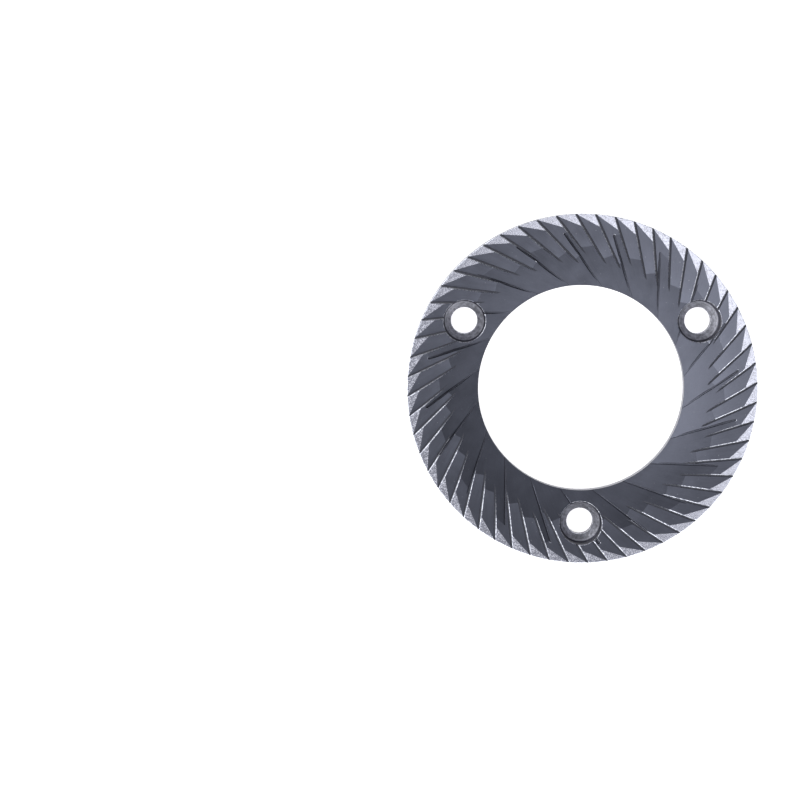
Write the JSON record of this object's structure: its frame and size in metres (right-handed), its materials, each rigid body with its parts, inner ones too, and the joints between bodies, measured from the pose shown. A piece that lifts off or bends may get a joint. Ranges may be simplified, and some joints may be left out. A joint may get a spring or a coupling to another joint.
{
  "type": "coffee grinder burr",
  "caption": "Flat ring burr for a coffee grinder, with ground fine teeth at the rim, coarse feed teeth at the bore and countersunk screw holes.",
  "frame": {"origin": "centre of the bore, in the plane of the back rim that the burr lies on", "axes": "+Z along the bore axis, out of the toothed face; the screw holes stand at 30, 150 and 270 degrees from +X towards +Y"},
  "size_m": [0.098, 0.098, 0.013],
  "materials": {
    "burr": "ground tool steel, satin facets, brighter worn lands and rim, matt recess in the back"
  },
  "bodies": {
    "root": {"burr": "burr"}
  },
  "joints": []
}
